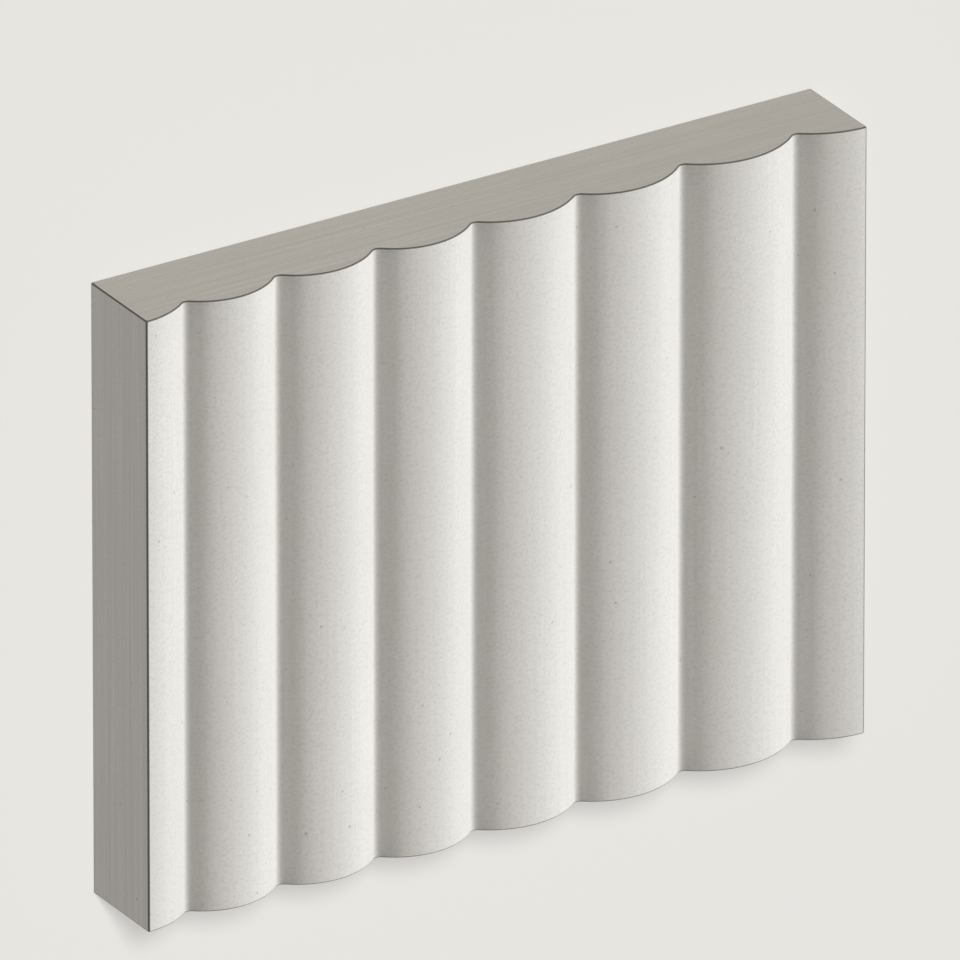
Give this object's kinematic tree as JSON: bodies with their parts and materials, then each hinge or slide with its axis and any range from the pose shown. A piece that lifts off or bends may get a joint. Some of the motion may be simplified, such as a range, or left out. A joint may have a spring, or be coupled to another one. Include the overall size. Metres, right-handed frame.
{
  "type": "fluted stone panel",
  "caption": "Flat stone wall panel with straight convex reeds of growing width milled into its face, and a flat sawn back and ends for bonding it edge to edge.",
  "frame": {"origin": "middle of the flat sawn back, on the surface that the panel lies on", "axes": "+X across the reeds towards the widest one, +Y along the reeds towards the end shown at the top of the picture, +Z out of the fluted face"},
  "size_m": [0.254, 0.2032, 0.0317],
  "materials": {
    "limestone": "matte"
  },
  "bodies": {
    "root": {"fluted_panel": "limestone"}
  },
  "joints": []
}
